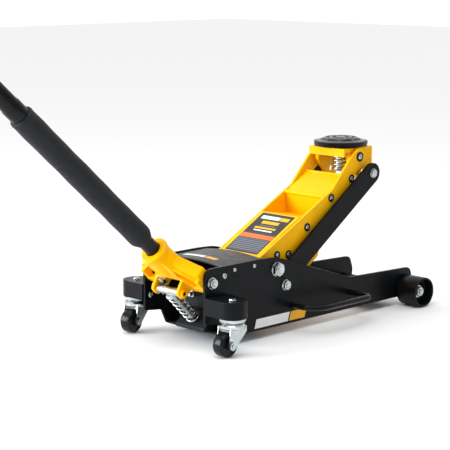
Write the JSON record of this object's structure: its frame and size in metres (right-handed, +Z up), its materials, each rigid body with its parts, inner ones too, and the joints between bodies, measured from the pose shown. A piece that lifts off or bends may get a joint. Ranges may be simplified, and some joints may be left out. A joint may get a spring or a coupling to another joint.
{
  "type": "hydraulic floor jack",
  "caption": "Low, long-chassis hydraulic floor jack with a parallelogram lift arm, round saddle, rocking pump handle, swivel casters and front rollers.",
  "frame": {"origin": "on the floor, under the middle of the overall length, on the centre line", "axes": "+X from the handle end to the saddle end, +Y to the jack's left, +Z up"},
  "size_m": [1.4941, 0.338, 0.9238],
  "materials": {
    "black_powder_coat": "satin black powder coat",
    "handle_black": "gloss black paint",
    "yellow_paint": "gloss yellow-orange paint",
    "zinc_plate": "bright zinc plate",
    "bright_steel": "ground steel",
    "cast_iron": "dark painted casting",
    "foam": "matt closed-cell foam",
    "black_rubber": "moulded black rubber",
    "wheel_plastic": "black nylon"
  },
  "bodies": {
    "chassis": {"side_plate_right": "black_powder_coat", "side_plate_left": "black_powder_coat", "rear_bottom_plate": "black_powder_coat", "front_cross_plate": "black_powder_coat", "top_cover": "black_powder_coat", "front_axle": "bright_steel", "carry_handle_right": "black_powder_coat", "carry_handle_left": "black_powder_coat", "caster_bracket_right": "black_powder_coat", "caster_bracket_left": "black_powder_coat", "main_pivot_shaft": "zinc_plate", "main_pivot_nut_right": "zinc_plate", "main_pivot_nut_left": "zinc_plate", "link_pivot_bolt_right": "zinc_plate", "link_pivot_bolt_left": "zinc_plate", "socket_pivot_bolt_right": "zinc_plate", "socket_pivot_bolt_left": "zinc_plate", "power_unit_block": "cast_iron", "oil_reservoir": "black_powder_coat", "pump_gland": "zinc_plate", "pump_spring": "zinc_plate", "caster_king_pin_right": "zinc_plate", "caster_king_pin_left": "zinc_plate"},
    "lift_arm": {"arm_plate_right": "yellow_paint", "arm_plate_left": "yellow_paint", "arm_lower_cover": "yellow_paint", "arm_upper_cover": "yellow_paint", "arm_pivot_tube": "yellow_paint", "ram_pin": "bright_steel", "arm_head_bolt_right": "zinc_plate", "arm_head_bolt_left": "zinc_plate"},
    "link_right": {"link_right": "black_powder_coat"},
    "link_left": {"link_left": "black_powder_coat"},
    "saddle_head": {"saddle_head": "yellow_paint", "link_head_bolt_right": "zinc_plate", "link_head_bolt_left": "zinc_plate"},
    "saddle": {"saddle": "black_powder_coat", "saddle_pad": "black_rubber", "saddle_stem": "zinc_plate"},
    "ram": {"ram_rod": "bright_steel", "ram_crosshead": "bright_steel"},
    "handle_socket": {"handle_socket": "yellow_paint", "pump_roller_pin": "zinc_plate", "handle_lock_bolt": "zinc_plate"},
    "pump_roller": {"pump_roller": "zinc_plate"},
    "handle": {"handle_lower_tube": "handle_black", "handle_upper_tube": "handle_black", "handle_sleeve": "foam", "handle_grip": "black_rubber"},
    "release_valve": {"release_valve_stem": "zinc_plate"},
    "pump_plunger": {"pump_plunger": "bright_steel"},
    "caster_right": {"caster_fork_right": "zinc_plate", "caster_axle_right": "zinc_plate"},
    "caster_left": {"caster_fork_left": "zinc_plate", "caster_axle_left": "zinc_plate"},
    "caster_wheel_right": {"caster_wheel_right": "wheel_plastic"},
    "caster_wheel_left": {"caster_wheel_left": "wheel_plastic"},
    "front_roller_right": {"front_roller_right": "black_powder_coat"},
    "front_roller_left": {"front_roller_left": "black_powder_coat"}
  },
  "joints": [
    {"name": "lift", "type": "hinge", "parent": "chassis", "child": "lift_arm", "pos_m": [0.3, 0, 0.138], "axis": [0, -1, 0], "range_deg": [-41, 33]},
    {"name": "link_turn_right", "type": "hinge", "parent": "chassis", "child": "link_right", "pos_m": [0.3265, -0.074, 0.1012], "axis": [0, -1, 0], "range_deg": [-41, 33]},
    {"name": "link_turn_left", "type": "hinge", "parent": "chassis", "child": "link_left", "pos_m": [0.3265, 0.074, 0.1012], "axis": [0, -1, 0], "range_deg": [-41, 33]},
    {"name": "head_level", "type": "hinge", "parent": "lift_arm", "child": "saddle_head", "pos_m": [0.58945, 0, 0.33918], "axis": [0, -1, 0], "range_deg": [-33, 41]},
    {"name": "saddle_turn", "type": "hinge", "parent": "saddle_head", "child": "saddle", "pos_m": [0.59766, 0, 0.3576], "axis": [0, 0, 1], "continuous": true},
    {"name": "ram_slide", "type": "slide", "parent": "chassis", "child": "ram", "axis": [1, 0, 0], "range_m": [-0.0375, 0.03]},
    {"name": "handle_rock", "type": "hinge", "parent": "chassis", "child": "handle_socket", "pos_m": [0.117, 0, 0.136], "axis": [0, -1, 0], "range_deg": [-20, 25]},
    {"name": "handle_twist", "type": "hinge", "parent": "handle_socket", "child": "handle", "pos_m": [0.117, 0, 0.136], "axis": [-0.7396, 0, 0.673], "range_deg": [-10, 100]},
    {"name": "release_valve_turn", "type": "hinge", "parent": "chassis", "child": "release_valve", "pos_m": [0.16, 0, 0.096], "axis": [-1, 0, 0], "range_deg": [-10, 100]},
    {"name": "pump_roller_spin", "type": "hinge", "parent": "handle_socket", "child": "pump_roller", "pos_m": [0.088, 0, 0.112], "axis": [0, 1, 0], "continuous": true},
    {"name": "plunger_slide", "type": "slide", "parent": "chassis", "child": "pump_plunger", "axis": [0.7019, 0, -0.7122], "range_m": [-0.0135, 0.0165], "deforming": ["pump_spring"]},
    {"name": "caster_swivel_right", "type": "hinge", "parent": "chassis", "child": "caster_right", "pos_m": [0.1245, -0.141, 0.06], "axis": [0, 0, 1], "continuous": true},
    {"name": "caster_roll_right", "type": "hinge", "parent": "caster_right", "child": "caster_wheel_right", "pos_m": [0.1047, -0.141, 0.0245], "axis": [0, 1, 0], "continuous": true},
    {"name": "front_roll_right", "type": "hinge", "parent": "chassis", "child": "front_roller_right", "pos_m": [0.715, -0.12, 0.033], "axis": [0, 1, 0], "continuous": true},
    {"name": "caster_swivel_left", "type": "hinge", "parent": "chassis", "child": "caster_left", "pos_m": [0.1245, 0.141, 0.06], "axis": [0, 0, 1], "continuous": true},
    {"name": "caster_roll_left", "type": "hinge", "parent": "caster_left", "child": "caster_wheel_left", "pos_m": [0.10521, 0.13655, 0.0245], "axis": [-0.225, 0.9744, 0], "continuous": true},
    {"name": "front_roll_left", "type": "hinge", "parent": "chassis", "child": "front_roller_left", "pos_m": [0.715, 0.12, 0.033], "axis": [0, 1, 0], "continuous": true}
  ],
  "couplings": [
    {"joint": "link_turn_right", "follows": "lift", "ratio": 1},
    {"joint": "link_turn_left", "follows": "lift", "ratio": 1},
    {"joint": "head_level", "follows": "lift", "ratio": -1},
    {"joint": "ram_slide", "follows": "lift", "m_per_rad": 0.051256},
    {"joint": "plunger_slide", "follows": "handle_rock", "m_per_rad": 0.0365},
    {"joint": "release_valve_turn", "follows": "handle_twist", "ratio": 1}
  ]
}
